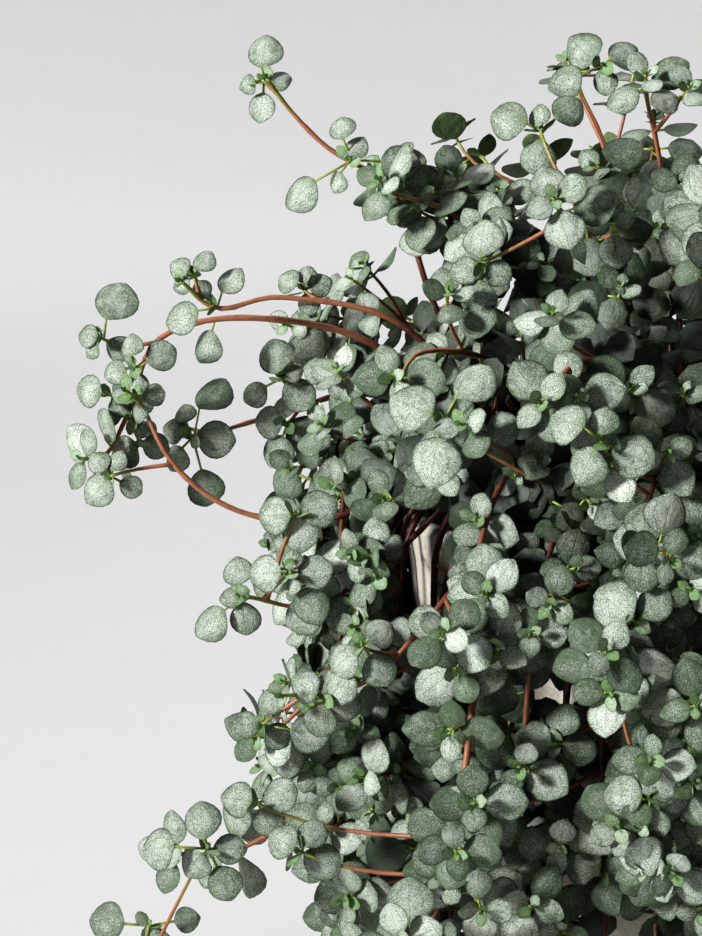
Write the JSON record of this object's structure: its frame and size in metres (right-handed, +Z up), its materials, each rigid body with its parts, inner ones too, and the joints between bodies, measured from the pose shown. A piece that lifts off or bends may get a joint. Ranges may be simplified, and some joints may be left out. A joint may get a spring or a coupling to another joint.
{
  "type": "potted plant",
  "caption": "Bushy trailing foliage plant with small round silver-green leaves on thin red stems, growing in a tapered pale stoneware pot filled with soil.",
  "frame": {"origin": "centre of the pot's foot, on the surface that the pot stands on", "axes": "+Z up along the pot's axis, -Y towards the viewer, +X to the viewer's right; the longest sprays reach towards -X"},
  "size_m": [0.2385, 0.2042, 0.2077],
  "materials": {
    "pot": "matte",
    "soil": "matte",
    "foliage": "satin"
  },
  "bodies": {
    "root": {"pot": "pot", "soil": "soil", "leafy_stem_01": "foliage", "leafy_stem_02": "foliage", "leafy_stem_03": "foliage", "leafy_stem_04": "foliage", "leafy_stem_05": "foliage", "leafy_stem_06": "foliage", "leafy_stem_07": "foliage", "leafy_stem_08": "foliage", "leafy_stem_09": "foliage", "leafy_stem_10": "foliage", "leafy_stem_11": "foliage", "leafy_stem_12": "foliage", "leafy_stem_13": "foliage", "leafy_stem_14": "foliage", "leafy_stem_15": "foliage", "leafy_stem_16": "foliage", "leafy_stem_17": "foliage", "leafy_stem_18": "foliage", "leafy_stem_19": "foliage", "leafy_stem_20": "foliage", "leafy_stem_21": "foliage", "leafy_stem_22": "foliage", "leafy_stem_23": "foliage", "leafy_stem_24": "foliage", "leafy_stem_25": "foliage", "leafy_stem_26": "foliage", "leafy_stem_27": "foliage", "leafy_stem_28": "foliage", "leafy_stem_29": "foliage", "leafy_stem_30": "foliage", "leafy_stem_31": "foliage", "leafy_stem_32": "foliage", "leafy_stem_33": "foliage", "leafy_stem_34": "foliage", "leafy_stem_35": "foliage", "leafy_stem_36": "foliage", "leafy_stem_37": "foliage", "leafy_stem_38": "foliage"}
  },
  "joints": []
}
